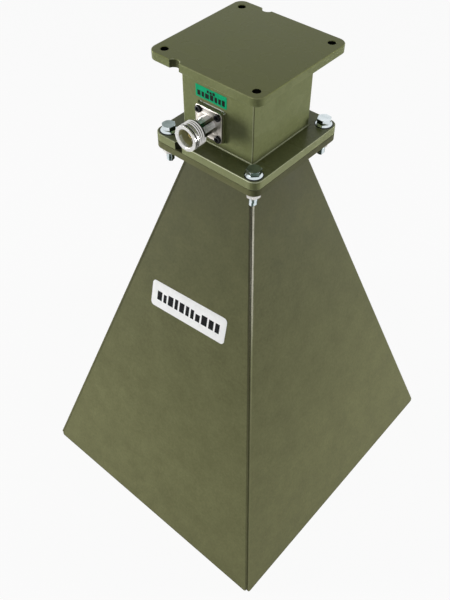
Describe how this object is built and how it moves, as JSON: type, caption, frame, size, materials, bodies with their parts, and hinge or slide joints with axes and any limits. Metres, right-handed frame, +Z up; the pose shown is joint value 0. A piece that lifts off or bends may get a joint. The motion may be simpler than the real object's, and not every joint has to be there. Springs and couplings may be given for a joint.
{
  "type": "pyramidal horn antenna",
  "caption": "Pyramidal sheet-metal microwave horn antenna, standing aperture down, with a bolted square waveguide adapter and a side coaxial jack.",
  "frame": {"origin": "centre of the horn's aperture, in the plane of its rim, which is the bottom of the bounding box", "axes": "+Z up along the horn's axis from the aperture to the end plate, -Y the side the coaxial jack faces, +X to the right seen from the jack's side"},
  "size_m": [0.221, 0.2412, 0.3673],
  "materials": {
    "olive_paint": "satin",
    "olive_paint_dark": "satin",
    "zinc": "bright zinc",
    "nickel": "bright nickel",
    "gilt": "gilt",
    "white_plastic": "matt",
    "brass": "machined",
    "black_oxide": "black oxide",
    "green_tape": "satin",
    "white_sticker": "satin"
  },
  "bodies": {
    "root": {"mounting_plate": "olive_paint", "waveguide_body": "olive_paint", "adapter_flange": "olive_paint", "horn_flange": "olive_paint_dark", "horn_panel_front": "olive_paint_dark", "horn_panel_right": "olive_paint_dark", "horn_panel_back": "olive_paint_dark", "horn_panel_left": "olive_paint_dark", "connector_pad": "olive_paint", "connector_shell": "nickel", "connector_insulator": "white_plastic", "centre_contact": "gilt", "feed_probe": "brass", "band_label": "green_tape", "horn_label": "white_sticker", "flange_bolt_1": "zinc", "flange_nut_1": "zinc", "connector_screw_1": "black_oxide", "flange_bolt_2": "zinc", "flange_nut_2": "zinc", "connector_screw_2": "black_oxide", "flange_bolt_3": "zinc", "flange_nut_3": "zinc", "connector_screw_3": "black_oxide", "flange_bolt_4": "zinc", "flange_nut_4": "zinc", "connector_screw_4": "black_oxide"}
  },
  "joints": []
}
